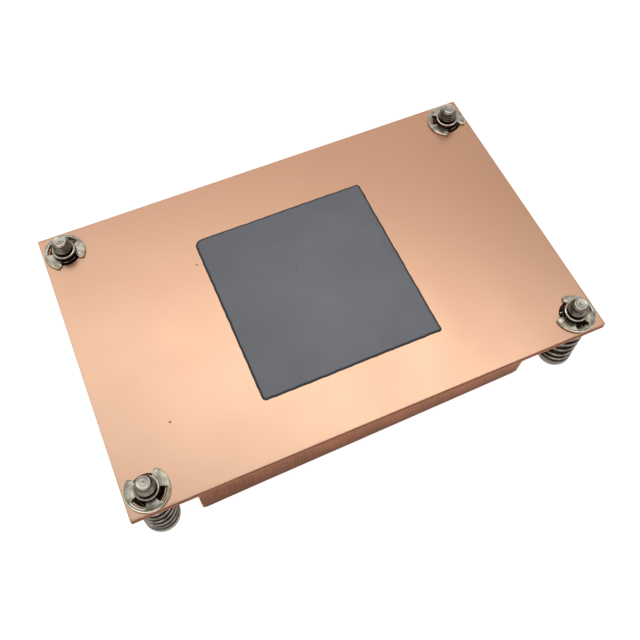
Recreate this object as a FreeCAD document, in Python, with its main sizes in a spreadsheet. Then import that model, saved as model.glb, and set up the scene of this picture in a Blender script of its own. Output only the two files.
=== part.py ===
import FreeCAD, Part
import math
import os
import Sketcher

"""Passive processor heat sink for a low rack server, in millimetres.

A skived copper body, one piece with its thin fins, lies fins down with its flat contact
face up. A thin pad of thermal compound is on that face. Four captive screws go through
the corners. Each is pushed away from the circuit board by a coil spring under the plate
and kept in its hole by an E-clip that bears on the contact face.

Frame: the origin is on the floor under the middle of the plate, X runs along the plate,
Y across it and Z up, from the fins' free edges to the contact face.
"""

# Driving dimensions, each written once.
SIZES = {
    # Pattern of the screws, a little off the middle of the plate that reaches past them
    "screw_spacing_long": 98.0,
    "screw_spacing_short": 60.0,
    "screw_shift_across": -0.35,
    "plate_margin": 5.0,
    "plate_thickness": 2.0,
    "hole_play": 0.55,
    "hole_chamfer": 0.3,
    # Skived fins
    "fin_height": 22.0,
    "fin_thickness": 0.5,
    "fin_pitch": 1.5,
    "fin_setback": 4.0,
    "fin_root": 0.35,
    "fin_corner_cut": 0.8,
    "relief_ends": 4.4,
    "relief_sides": 1.5,
    # Pad of thermal compound
    "pad_length": 42.0,
    "pad_width": 43.3,
    "pad_thickness": 0.25,
    "pad_corner_radius": 1.4,
    "pad_shift_along": -0.4,
    "pad_shift_across": -0.7,
    # Captive screw
    "thread_diameter": 4.0,
    "thread_length": 3.3,
    "thread_relief": 0.3,
    "tip_flat_diameter": 2.5,
    "tip_chamfer_height": 0.45,
    "shank_diameter": 5.2,
    "collar_height": 0.95,
    "collar_chamfer": 0.25,
    "groove_diameter": 3.6,
    "head_rim": 0.05,
    "head_height": 2.2,
    "head_chamfer": 0.35,
    "recess_span": 4.6,
    "recess_slot": 1.1,
    "recess_depth": 1.3,
    # Retaining E-clip in the screw's groove
    "clip_thickness": 0.7,
    "clip_outer_diameter": 9.3,
    "clip_recess_diameter": 7.0,
    "clip_seat_play": 0.05,
    "clip_side_play": 0.05,
    "clip_mouth": 3.3,
    "clip_mouth_outer": 5.5,
    "clip_prong_angle": 106.0,
    "clip_lobe_angle": 25.0,
    # Compression spring round the shank
    "spring_length": 14.0,
    "spring_play": 0.45,
    "wire_diameter": 0.9,
    "closed_coil_gap": 0.06,
    "active_turns": 4.5,
}

# Runs in one turn of the coil and sides of the wire, kept few so that the mesh is light.
RUNS_PER_TURN = 16
WIRE_SIDES = 6

# Corner of the plate, as seen with the fins down: the sides on which it lies in X and Y,
# and how far its clip is turned from a mouth that faces +Y, in degrees.
CORNERS = {
    "front_left": (-1, -1, 2.0),
    "back_left": (-1, 1, -170.0),
    "back_right": (1, 1, -165.0),
    "front_right": (1, -1, 47.0),
}

doc = FreeCAD.newDocument("heat_sink")
sheet = doc.addObject("Spreadsheet::Sheet", "Dims")
for row, (alias, number) in enumerate(SIZES.items(), start=1):
    sheet.set("A%d" % row, alias)
    sheet.set("B%d" % row, str(number))
    sheet.setAlias("B%d" % row, alias)
doc.recompute()


class Size:
    """A length, count or angle: its value now and the expression that gives it."""

    def __init__(self, value, text):
        self.value = value
        self.text = text

    @staticmethod
    def of(other):
        return other if isinstance(other, Size) else Size(float(other), "(%s)" % other)

    def _with(self, other, value, sign):
        return Size(value, "(%s %s %s)" % (self.text, sign, other.text))

    def __add__(self, other):
        other = Size.of(other)
        return self._with(other, self.value + other.value, "+")

    def __sub__(self, other):
        other = Size.of(other)
        return self._with(other, self.value - other.value, "-")

    def __mul__(self, other):
        other = Size.of(other)
        return self._with(other, self.value * other.value, "*")

    def __truediv__(self, other):
        other = Size.of(other)
        return self._with(other, self.value / other.value, "/")

    def __neg__(self):
        return self * -1

    def sin(self):
        return Size(math.sin(math.radians(self.value)), "sin(%s)" % self.text)

    def cos(self):
        return Size(math.cos(math.radians(self.value)), "cos(%s)" % self.text)

    def floor(self):
        return Size(math.floor(self.value), "floor(%s)" % self.text)

    def ceil(self):
        return Size(math.ceil(self.value), "ceil(%s)" % self.text)


def size(alias):
    """The driving dimension of that name, read from the sheet."""
    return Size(float(sheet.get(alias)), "Dims." + alias)


ZERO = Size(0.0, "0")
ROUNDING = 0.001

# Outline of the plate, and what fits round the screw's shank or in its groove.
plate_length = size("screw_spacing_long") + size("plate_margin") * 2
plate_width = size("screw_spacing_short") + size("plate_margin") * 2
hole_diameter = size("shank_diameter") + size("hole_play") * 2
coil_diameter = size("shank_diameter") + size("spring_play") * 2 + size("wire_diameter")
head_diameter = coil_diameter + size("wire_diameter") + size("head_rim") * 2
seat_diameter = size("groove_diameter") + size("clip_seat_play") * 2

# Levels above the floor.
plate_underside = size("fin_height")
contact_face = plate_underside + size("plate_thickness")
groove_floor = contact_face - size("clip_side_play")
groove_roof = contact_face + size("clip_thickness") + size("clip_side_play")
collar_top = groove_roof + size("collar_height")
screw_tip = collar_top + size("thread_length")
head_seat = plate_underside - size("spring_length")
head_end = head_seat - size("head_height")

# The fins: how many stand side by side, and how many at each side stop short of the
# screws so that the heads and springs have room.
fin_block_width = plate_width - size("fin_setback") * 2
fin_count = ((fin_block_width - size("fin_thickness")) / size("fin_pitch") + ROUNDING).floor() + 1
outer_fin = (fin_count - 1) * size("fin_pitch") / 2
free_half_width = (size("screw_spacing_short") - head_diameter) / 2 - size("relief_sides")
overhang = outer_fin + size("fin_thickness") / 2 - free_half_width
short_fin_count = (overhang / size("fin_pitch") - ROUNDING).ceil()
long_fin_count = fin_count - short_fin_count * 2
long_fin_length = plate_length
short_fin_length = size("screw_spacing_long") - head_diameter - size("relief_ends") * 2


def bind(target, prop, wanted):
    """Binds a property of an object to the expression of a size."""
    target.setExpression(prop, wanted.text)


def new_body(label):
    """An empty body whose label names its file."""
    body = doc.addObject("PartDesign::Body", label)
    body.Label = label
    return body


def new_sketch(body, name, role, offset=ZERO):
    """A sketch on one of the body's own origin planes, raised along the plane's normal."""
    sketch = body.newObject("Sketcher::SketchObject", name)
    plane = [f for f in body.Origin.OriginFeatures if f.Role == role][0]
    sketch.AttachmentSupport = [(plane, "")]
    sketch.MapMode = "FlatFace"
    bind(sketch, "AttachmentOffset.Base.z", offset)
    return sketch


def pin_point(sketch, index, vertex, x, y):
    """Binds a sketch point to its two coordinates."""
    for kind, wanted in (("DistanceX", x), ("DistanceY", y)):
        number = sketch.addConstraint(Sketcher.Constraint(kind, -1, 1, index, vertex, wanted.value))
        bind(sketch, "Constraints[%d]" % number, wanted)


def polygon(sketch, points):
    """A closed outline of straight lines through points given as pairs of sizes."""
    first = sketch.GeometryCount
    count = len(points)
    for i, (x, y) in enumerate(points):
        ahead = points[(i + 1) % count]
        start = FreeCAD.Vector(x.value, y.value, 0)
        end = FreeCAD.Vector(ahead[0].value, ahead[1].value, 0)
        sketch.addGeometry(Part.LineSegment(start, end), False)
    for i, (x, y) in enumerate(points):
        behind = first + (i - 1) % count
        sketch.addConstraint(Sketcher.Constraint("Coincident", behind, 2, first + i, 1))
        pin_point(sketch, first + i, 1, x, y)


def rectangle(sketch, x_low, x_high, y_low, y_high):
    """An upright rectangle between two pairs of sizes."""
    polygon(sketch, [(x_low, y_low), (x_high, y_low), (x_high, y_high), (x_low, y_high)])


def circle(sketch, x, y, diameter):
    """A circle with its centre and diameter bound."""
    centre = FreeCAD.Vector(x.value, y.value, 0)
    normal = FreeCAD.Vector(0, 0, 1)
    index = sketch.addGeometry(Part.Circle(centre, normal, diameter.value / 2), False)
    pin_point(sketch, index, 3, x, y)
    number = sketch.addConstraint(Sketcher.Constraint("Diameter", index, diameter.value))
    bind(sketch, "Constraints[%d]" % number, diameter)


def pad(body, name, sketch, length, both_ways=False):
    """Adds the sketch's area as a prism."""
    feature = body.newObject("PartDesign::Pad", name)
    feature.Profile = sketch
    feature.Midplane = both_ways
    bind(feature, "Length", length)
    body.Tip = feature
    doc.recompute()
    return feature


def pocket(body, name, sketch, depth, reverse=False, both_ways=False):
    """Cuts the sketch's area out as a prism, and stops if it cuts nothing."""
    before = body.Shape.Volume
    feature = body.newObject("PartDesign::Pocket", name)
    feature.Profile = sketch
    feature.Reversed = reverse
    feature.Midplane = both_ways
    bind(feature, "Length", depth)
    body.Tip = feature
    doc.recompute()
    if not body.Shape.Volume < before:
        raise RuntimeError("%s in %s cuts nothing" % (name, body.Label))
    return feature


def row_of(body, name, feature, axis_role, step, count):
    """Repeats a feature along one of the body's axes."""
    pattern = body.newObject("PartDesign::LinearPattern", name)
    pattern.Originals = [feature]
    axis = [f for f in body.Origin.OriginFeatures if f.Role == axis_role][0]
    pattern.Direction = (axis, [""])
    bind(pattern, "Length", step * (count - 1))
    bind(pattern, "Occurrences", count)
    body.Tip = pattern
    doc.recompute()
    return pattern


def fin_row(body, name, length, first_y, count):
    """Fins side by side. The section has the swollen root that skiving leaves on one side."""
    sketch = new_sketch(body, name + "_section", "YZ_Plane")
    near = first_y - size("fin_thickness") / 2
    far = first_y + size("fin_thickness") / 2
    root = size("fin_root")
    polygon(
        sketch,
        [
            (near, ZERO),
            (far, ZERO),
            (far, plate_underside - root),
            (far + root, plate_underside),
            (near, plate_underside),
        ],
    )
    fin = pad(body, name + "_fin", sketch, length, both_ways=True)
    row_of(body, name, fin, "Y_Axis", size("fin_pitch"), count)


def cut_fin_corners(body, name, length):
    """Bevels the free corners of all fins of that length at both ends."""
    sketch = new_sketch(body, name, "XZ_Plane")
    cut = size("fin_corner_cut")
    for side in (-1, 1):
        end = length / 2 * side
        polygon(sketch, [(end - cut * side, ZERO), (end, ZERO), (end, cut)])
    pocket(body, name + "_cut", sketch, plate_width, both_ways=True)


def build_copper_body():
    """The plate with its four holes, and the fins skived out of the same block."""
    body = new_body("finned_copper_body")
    half_length = plate_length / 2
    half_width = plate_width / 2
    outline = new_sketch(body, "plate_outline", "XY_Plane", plate_underside)
    rectangle(outline, -half_length, half_length, -half_width, half_width)
    pad(body, "plate", outline, size("plate_thickness"))

    holes = new_sketch(body, "hole_centres", "XY_Plane", contact_face)
    for along, across, _ in CORNERS.values():
        x = size("screw_spacing_long") / 2 * along
        y = size("screw_spacing_short") / 2 * across + size("screw_shift_across")
        circle(holes, x, y, hole_diameter)
    pocket(body, "screw_holes", holes, size("plate_thickness"))

    rims = [
        "Edge%d" % (i + 1)
        for i, edge in enumerate(body.Shape.Edges)
        if isinstance(edge.Curve, Part.Circle) and edge.BoundBox.ZMin > contact_face.value - ROUNDING
    ]
    drilled = body.Tip
    eased = body.newObject("PartDesign::Chamfer", "hole_rims")
    eased.Base = (drilled, rims)
    bind(eased, "Size", size("hole_chamfer"))
    body.Tip = eased
    doc.recompute()

    fin_row(body, "short_fins_front", short_fin_length, -outer_fin, short_fin_count)
    inner_short_fin = outer_fin - size("fin_pitch") * (short_fin_count - 1)
    fin_row(body, "short_fins_back", short_fin_length, inner_short_fin, short_fin_count)
    cut_fin_corners(body, "short_fin_corners", short_fin_length)
    outer_long_fin = outer_fin - size("fin_pitch") * short_fin_count
    fin_row(body, "long_fins", long_fin_length, -outer_long_fin, long_fin_count)
    cut_fin_corners(body, "long_fin_corners", long_fin_length)
    return body


def build_pad():
    """The thin square of grey compound, a little off the middle of the plate."""
    body = new_body("thermal_pad")
    outline = new_sketch(body, "pad_outline", "XY_Plane", contact_face)
    x = size("pad_shift_along")
    y = size("pad_shift_across")
    half_length = size("pad_length") / 2
    half_width = size("pad_width") / 2
    rectangle(outline, x - half_length, x + half_length, y - half_width, y + half_width)
    pad(body, "compound", outline, size("pad_thickness"))
    corners = [
        "Edge%d" % (i + 1)
        for i, edge in enumerate(body.Shape.Edges)
        if edge.BoundBox.ZLength > size("pad_thickness").value / 2
    ]
    squared = body.Tip
    rounded = body.newObject("PartDesign::Fillet", "pad_corners")
    rounded.Base = (squared, corners)
    bind(rounded, "Radius", size("pad_corner_radius"))
    body.Tip = rounded
    doc.recompute()
    return body


def stand_at(target, along, across, turn=0.0):
    """Puts a sub-part on the axis of the screw hole at that corner, turned about it."""
    upright = FreeCAD.Rotation(FreeCAD.Vector(0, 0, 1), turn)
    target.Placement = FreeCAD.Placement(FreeCAD.Vector(0, 0, 0), upright)
    bind(target, "Placement.Base.x", size("screw_spacing_long") / 2 * along)
    across_it = size("screw_spacing_short") / 2 * across + size("screw_shift_across")
    bind(target, "Placement.Base.y", across_it)


def build_screw(corner, along, across):
    """A turned screw: head, long shank, clip groove, collar and threaded end."""
    body = new_body("captive_screw_" + corner)
    thread = size("thread_diameter") / 2
    shank = size("shank_diameter") / 2
    head = head_diameter / 2
    groove = size("groove_diameter") / 2
    bevel = size("head_chamfer")
    relief_top = collar_top + size("thread_relief")
    profile = new_sketch(body, "profile", "XZ_Plane")
    polygon(
        profile,
        [
            (ZERO, head_end),
            (head - bevel, head_end),
            (head, head_end + bevel),
            (head, head_seat),
            (shank, head_seat),
            (shank, groove_floor),
            (groove, groove_floor),
            (groove, groove_roof),
            (shank, groove_roof),
            (shank, collar_top - size("collar_chamfer")),
            (shank - size("collar_chamfer"), collar_top),
            (thread - size("thread_relief"), collar_top),
            (thread, relief_top),
            (thread, screw_tip - size("tip_chamfer_height")),
            (size("tip_flat_diameter") / 2, screw_tip),
            (ZERO, screw_tip),
        ],
    )
    turned = body.newObject("PartDesign::Revolution", "turned")
    turned.Profile = profile
    turned.ReferenceAxis = (profile, ["V_Axis"])
    turned.Angle = 360.0
    body.Tip = turned
    doc.recompute()

    recess = new_sketch(body, "cross_recess", "XY_Plane", head_end)
    arm = size("recess_span") / 2
    slot = size("recess_slot") / 2
    polygon(
        recess,
        [
            (-arm, -slot),
            (-slot, -slot),
            (-slot, -arm),
            (slot, -arm),
            (slot, -slot),
            (arm, -slot),
            (arm, slot),
            (slot, slot),
            (slot, arm),
            (-slot, arm),
            (-slot, slot),
            (-arm, slot),
        ],
    )
    pocket(body, "driver_recess", recess, size("recess_depth"), reverse=True)
    stand_at(body, along, across)
    return body


def build_clip(corner, along, across, turn):
    """An E-clip: a ring with three lobes on the groove and a mouth that flares outwards."""
    body = new_body("retaining_clip_" + corner)
    outer = size("clip_outer_diameter")
    inner = size("clip_recess_diameter")
    ring = new_sketch(body, "ring", "XY_Plane", contact_face)
    circle(ring, ZERO, ZERO, outer)
    circle(ring, ZERO, ZERO, inner)
    pad(body, "rim", ring, size("clip_thickness"))

    reach = (outer + inner) / 4
    lobes = new_sketch(body, "lobe_outlines", "XY_Plane", contact_face)
    tongue = size("clip_lobe_angle")
    polygon(
        lobes,
        [
            (ZERO, ZERO),
            (-reach * tongue.sin(), -reach * tongue.cos()),
            (reach * tongue.sin(), -reach * tongue.cos()),
        ],
    )
    pad(body, "back_lobe", lobes, size("clip_thickness"))
    prong = size("clip_prong_angle")
    for side, name in ((-1, "left_prong"), (1, "right_prong")):
        sketch = new_sketch(body, name + "_outline", "XY_Plane", contact_face)
        polygon(
            sketch,
            [
                (ZERO, ZERO),
                (reach * prong.sin() * side, reach * prong.cos()),
                (reach * (prong * 2 / 3).sin() * side, reach * (prong * 2 / 3).cos()),
                (reach * (prong / 3).sin() * side, reach * (prong / 3).cos()),
            ],
        )
        pad(body, name, sketch, size("clip_thickness"))

    bore = new_sketch(body, "seat_outline", "XY_Plane", contact_face + size("clip_thickness"))
    circle(bore, ZERO, ZERO, seat_diameter)
    pocket(body, "seat", bore, size("clip_thickness"))

    mouth = new_sketch(body, "mouth_outline", "XY_Plane", contact_face + size("clip_thickness"))
    throat = size("clip_mouth") / 2
    flare = (size("clip_mouth_outer") - size("clip_mouth")) / 2
    polygon(
        mouth,
        [
            (-throat, ZERO),
            (throat, ZERO),
            (throat, seat_diameter / 4),
            (throat + flare, outer / 2 - flare),
            (throat + flare, outer / 2),
            (-throat - flare, outer / 2),
            (-throat - flare, outer / 2 - flare),
            (-throat, seat_diameter / 4),
        ],
    )
    pocket(body, "mouth", mouth, size("clip_thickness"))
    stand_at(body, along, across, turn)
    return body


def coil_route():
    """Points along the middle of the wire: one closed turn, the active turns, one closed."""
    wire = size("wire_diameter").value
    radius = coil_diameter.value / 2
    closed_pitch = wire + size("closed_coil_gap").value
    active = size("active_turns").value
    free = size("spring_length").value - wire / 2 - 2 * closed_pitch
    low = head_seat.value + wire / 4
    points = []
    for i in range(int(round((active + 2) * RUNS_PER_TURN)) + 1):
        turn = i / RUNS_PER_TURN
        climb = closed_pitch * min(turn, 1.0)
        climb += free / active * min(max(turn - 1.0, 0.0), active)
        climb += closed_pitch * max(turn - 1.0 - active, 0.0)
        angle = 2 * math.pi * turn
        points.append(FreeCAD.Vector(radius * math.cos(angle), radius * math.sin(angle), low + climb))
    return points


def build_spring(corner, along, across):
    """A compression spring of short straight runs, its two ends ground flat."""
    route = doc.addObject("Part::Polygon", "route_" + corner)
    route.Nodes = coil_route()
    section = doc.addObject("Part::RegularPolygon", "wire_" + corner)
    section.Polygon = WIRE_SIDES
    bind(section, "Circumradius", size("wire_diameter") / 2)
    start = route.Nodes[0]
    heading = (route.Nodes[1] - start).normalize()
    facing = FreeCAD.Rotation(FreeCAD.Vector(0, 0, 1), heading)
    section.Placement = FreeCAD.Placement(start, facing)
    coil = doc.addObject("Part::Sweep", "coil_" + corner)
    coil.Sections = [section]
    coil.Spine = (route, ["Edge%d" % (i + 1) for i in range(len(route.Nodes) - 1)])
    coil.Solid = True
    coil.Frenet = True
    coil.Transition = "Right corner"
    room = doc.addObject("Part::Cylinder", "ends_" + corner)
    bind(room, "Radius", coil_diameter)
    bind(room, "Height", size("spring_length"))
    bind(room, "Placement.Base.z", head_seat)
    ground = doc.addObject("Part::Common", "spring_" + corner)
    ground.Label = "spring_" + corner
    ground.Base = coil
    ground.Tool = room
    doc.recompute()
    stand_at(ground, along, across)
    return ground


parts = [build_copper_body(), build_pad()]
for corner, (along, across, turn) in CORNERS.items():
    parts.append(build_screw(corner, along, across))
    parts.append(build_clip(corner, along, across, turn))
    parts.append(build_spring(corner, along, across))
doc.recompute()

for item in doc.Objects:
    if "Invalid" in item.State or "Error" in item.State:
        raise RuntimeError("%s failed: %s" % (item.Label, item.State))
for item in parts:
    if item.Shape.isNull() or not item.Shape.isValid() or len(item.Shape.Solids) != 1:
        raise RuntimeError("%s has no single valid solid" % item.Label)

os.makedirs("parts", exist_ok=True)
for item in parts:
    item.Shape.exportStep("parts/%s.step" % item.Label)
    box = item.Shape.BoundBox
    print("%s: %.1f mm3, X %.2f to %.2f, Y %.2f to %.2f, Z %.2f to %.2f" % (
        item.Label, item.Shape.Volume, box.XMin, box.XMax, box.YMin, box.YMax, box.ZMin, box.ZMax))
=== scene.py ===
"""Passive processor heat sink for a low rack server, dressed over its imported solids.

The copper body is skived from one block: a lapped contact face above, thin fins below. A square
of thermal compound is printed on the face, and four captive screws stand in its corners, each
with an E-clip above the plate and a compression spring below it. Lengths are in millimetres, in
the frame of the solids: X along the plate, Y across it, Z up, and the floor at zero.
"""

import logging
import math
from dataclasses import dataclass, field
from enum import Enum
from functools import partial
from typing import Any, Callable, Sequence

import bmesh
import bpy
import numpy as np
from mathutils import Matrix, Vector

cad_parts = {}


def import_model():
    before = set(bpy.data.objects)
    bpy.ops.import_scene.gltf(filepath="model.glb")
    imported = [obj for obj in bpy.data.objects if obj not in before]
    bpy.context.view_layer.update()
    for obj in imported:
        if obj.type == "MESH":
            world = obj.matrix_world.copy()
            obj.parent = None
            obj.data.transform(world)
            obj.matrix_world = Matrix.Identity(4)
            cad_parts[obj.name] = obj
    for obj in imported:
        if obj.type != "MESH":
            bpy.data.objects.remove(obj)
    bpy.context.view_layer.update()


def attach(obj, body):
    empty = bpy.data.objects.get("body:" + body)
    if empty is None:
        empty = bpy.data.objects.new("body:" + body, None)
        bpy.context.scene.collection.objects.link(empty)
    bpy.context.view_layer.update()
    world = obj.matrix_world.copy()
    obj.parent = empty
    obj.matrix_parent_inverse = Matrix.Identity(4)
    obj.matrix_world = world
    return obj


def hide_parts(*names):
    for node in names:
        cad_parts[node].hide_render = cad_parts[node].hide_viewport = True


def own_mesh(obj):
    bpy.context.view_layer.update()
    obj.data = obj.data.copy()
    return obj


LOG = logging.getLogger("heat_sink")
MM = 0.001
# heights of the contact face and of the plate's underside
FACE, UNDERSIDE = 24.0, 22.0
# how far apart the holes are along and across the plate, and their shift across it
SPACING = (98.0, 60.0)
SHIFT_ACROSS = -0.35
# points this close are welded, and edges this short are dissolved
WELD, SLIVER = 0.002, 0.0005
# the colour sockets of a Mix node: its two inputs and its output
FIRST, SECOND, MIXED = 6, 7, 2

Socket = str | int
Link = bpy.types.Node | tuple[bpy.types.Node, Socket]


def linear(hex_colour: str) -> tuple[float, float, float, float]:
    """Turns an sRGB hex value into linear light by the standard's curve.

    Args:
        hex_colour: Six hex digits, such as "F4C2A0".

    Returns:
        Red, green, blue and an alpha of one.
    """
    parts = [int(hex_colour[i : i + 2], 16) / 255 for i in (0, 2, 4)]
    light = [c / 12.92 if c <= 0.04045 else ((c + 0.055) / 1.055) ** 2.4 for c in parts]
    return (light[0], light[1], light[2], 1.0)


def per_size(sizes: Sequence[float]) -> tuple[float, ...]:
    """The scale in each direction of a pattern with features of these sizes."""
    return tuple(1 / (size * MM) for size in sizes)


def add_node(
    tree: bpy.types.NodeTree,
    kind: str,
    settings: dict[Socket, Any] | None = None,
    links: dict[Socket, Link] | None = None,
) -> bpy.types.Node:
    """Adds one node to a tree, with its settings and the links into it.

    Args:
        tree: The node tree of a material or of the world.
        kind: The node's type without "ShaderNode", such as "Mix".
        settings: Values by name. A name that the node has as a property sets that, and any
            other name or number is one of its input sockets.
        links: Input sockets, each with the node that feeds it from its first output, or with
            that node and the output.

    Returns:
        The new node.
    """
    node = tree.nodes.new("ShaderNode" + kind)
    for name, value in (settings or {}).items():
        if isinstance(name, str) and hasattr(node, name):
            setattr(node, name, value)
        else:
            node.inputs[name].default_value = value
    for name, source in (links or {}).items():
        feeder, output = source if isinstance(source, tuple) else (source, 0)
        tree.links.new(feeder.outputs[output], node.inputs[name])
    return node


def new_material(name: str) -> tuple[bpy.types.Material, Callable[..., bpy.types.Node]]:
    """Makes an empty node material.

    Args:
        name: The name of its finish.

    Returns:
        The material, and add_node for its tree.
    """
    material = bpy.data.materials.new(name)
    material.use_nodes = True
    material.node_tree.nodes.clear()
    return material, partial(add_node, material.node_tree)


def put_in_scene(name: str, data: bpy.types.ID) -> bpy.types.Object:
    """Makes an object that holds the data and links it to the scene.

    Args:
        name: The object's name.
        data: Its mesh, lamp or camera.

    Returns:
        The object.
    """
    made = bpy.data.objects.new(name, data)
    bpy.context.scene.collection.objects.link(made)
    return made


def aim(thing: bpy.types.Object, place: Vector, right: Vector, up: Vector, back: Vector) -> None:
    """Puts an object in place, with its own X, Y and Z along the three directions."""
    turn = Matrix((right, up, back)).transposed().to_4x4()
    thing.matrix_world = Matrix.Translation(place) @ turn


def with_height(flat: np.ndarray, height: Any) -> np.ndarray:
    """Gives a grid of flat points their height, one for all or one for each row or point."""
    return np.concatenate([flat, np.broadcast_to(height, flat.shape[:2])[..., None]], -1)


def outline_of(runs: Sequence[tuple[Any, Any]]) -> np.ndarray:
    """Joins straight runs, each with its X and its Y, into one line of flat points."""
    return np.concatenate([np.stack(np.broadcast_arrays(*run), -1) for run in runs])


def full_turn(count: int) -> np.ndarray:
    """Even angles once round, in radians."""
    return np.linspace(0, 2 * math.pi, count, endpoint=False)


def spread(values: np.ndarray, columns: int) -> np.ndarray:
    """Repeats one value for each row along all columns of a grid."""
    return np.repeat(values[:, None], columns, 1)


class Corner(Enum):
    """A corner of the plate as seen with the fins down: its side in X, its side in Y, and how
    many degrees its clip is turned from a mouth that faces +Y."""

    FRONT_LEFT = ("front_left", -1, -1, 2.0)
    BACK_LEFT = ("back_left", -1, 1, -170.0)
    BACK_RIGHT = ("back_right", 1, 1, -165.0)
    FRONT_RIGHT = ("front_right", 1, -1, 47.0)

    @property
    def label(self) -> str:
        """The corner's name in the names of the nodes."""
        return self.value[0]

    @property
    def turn(self) -> float:
        """How far the clip is turned, in radians."""
        return math.radians(self.value[3])

    @property
    def square(self) -> np.ndarray:
        """The middle of the square of the plate that holds this corner's hole."""
        return np.array([self.value[1] * SPACING[0] / 2, self.value[2] * SPACING[1] / 2, 0.0])

    @property
    def axis(self) -> np.ndarray:
        """The axis of the screw. The holes were drilled a little nearer to the front side."""
        return self.square + np.array([0.0, SHIFT_ACROSS, 0.0])


@dataclass
class Shell:
    """Patches of a surface, gathered in millimetres and welded into one mesh."""

    name: str
    points: list[np.ndarray] = field(default_factory=list)
    quads: list[np.ndarray] = field(default_factory=list)
    finish: list[np.ndarray] = field(default_factory=list)
    tone: list[np.ndarray] = field(default_factory=list)

    def add_grid(
        self,
        grid: np.ndarray,
        finish: int = 0,
        loop: bool = False,
        keep: np.ndarray | None = None,
        tone: np.ndarray | None = None,
    ) -> None:
        """Adds a surface that is a grid of points: rows by columns by three coordinates.

        Args:
            grid: The points, in millimetres.
            finish: Which of the piece's materials the patch takes.
            loop: True if the last column joins the first.
            keep: For each cell of the grid, whether it gets a face.
            tone: For each point, a number that the material may read.
        """
        rows, columns = grid.shape[:2]
        start = sum(len(p) for p in self.points)
        index = start + np.arange(rows * columns).reshape(rows, columns)
        if loop:
            index = np.concatenate([index, index[:, :1]], axis=1)
        quads = np.stack([index[:-1, :-1], index[:-1, 1:], index[1:, 1:], index[1:, :-1]], axis=-1)
        if keep is not None:
            quads = quads[keep]
        quads = quads.reshape(-1, 4)
        self.points.append(grid.reshape(-1, 3))
        self.quads.append(quads)
        self.finish.append(np.full(len(quads), finish))
        self.tone.append(np.zeros(rows * columns) if tone is None else tone.reshape(-1))

    def build(self, materials: list[bpy.types.Material], sharp: float = 32.0) -> bpy.types.Object:
        """Welds the patches where they meet, turns their faces outwards and makes the object.

        Args:
            materials: The materials, in the order that the patches count them.
            sharp: The angle in degrees above which an edge stays crisp.

        Returns:
            The object, at the origin.
        """
        mesh = bpy.data.meshes.new(self.name)
        places = (np.concatenate(self.points) * MM).tolist()
        mesh.from_pydata(places, [], np.concatenate(self.quads).tolist())
        mesh.polygons.foreach_set("material_index", np.concatenate(self.finish).astype(np.int32))
        tone = mesh.attributes.new("tone", "FLOAT", "POINT")
        tone.data.foreach_set("value", np.concatenate(self.tone).astype(np.float32))
        shape = bmesh.new()
        shape.from_mesh(mesh)
        bmesh.ops.remove_doubles(shape, verts=shape.verts, dist=WELD * MM)
        bmesh.ops.dissolve_degenerate(shape, edges=shape.edges, dist=SLIVER * MM)
        bmesh.ops.recalc_face_normals(shape, faces=shape.faces)
        shape.to_mesh(mesh)
        shape.free()
        for material in materials:
            mesh.materials.append(material)
        mesh.polygons.foreach_set("use_smooth", np.ones(len(mesh.polygons), bool))
        mesh.set_sharp_from_angle(angle=math.radians(sharp))
        piece = put_in_scene(self.name, mesh)
        flats = piece.modifiers.new("flat_faces_stay_flat", "WEIGHTED_NORMAL")
        flats.mode = "FACE_AREA"
        flats.weight = 100
        flats.keep_sharp = True
        LOG.info(
            "%s: %d faces, %d open edges",
            self.name,
            len(mesh.polygons),
            self.count_open_edges(mesh),
        )
        return piece

    @staticmethod
    def count_open_edges(mesh: bpy.types.Mesh) -> int:
        """Counts the edges that have a face on one side only.

        Args:
            mesh: The finished mesh.

        Returns:
            Their number, which is zero if the mesh is closed.
        """
        edges = np.zeros(len(mesh.loops), np.int32)
        mesh.loops.foreach_get("edge_index", edges)
        return int((np.bincount(edges) == 1).sum())


def ripple(
    x: np.ndarray, y: np.ndarray, seed: int, waves: int = 5, longest: float = 20.0
) -> np.ndarray:
    """Smooth unevenness: a sum of sine waves in fixed chance directions, each wave shorter and
    lower than the one before.

    Args:
        x: First coordinate of each point, in millimetres.
        y: Second coordinate.
        seed: Picks the directions and phases, the same on every run.
        waves: How many sines are added.
        longest: The longest wavelength, in millimetres.

    Returns:
        Heights between about minus one and one.
    """
    shorter, lower = 1.7, 0.6
    chance = np.random.default_rng(seed)
    total = np.zeros(np.broadcast(x, y).shape)
    weight = 0.0
    for i in range(waves):
        angle, phase = chance.uniform(0, 2 * math.pi, 2)
        number = 2 * math.pi / longest * shorter**i
        total = total + lower**i * np.sin(
            number * (x * math.cos(angle) + y * math.sin(angle)) + phase
        )
        weight += lower**i
    return total / weight


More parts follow.
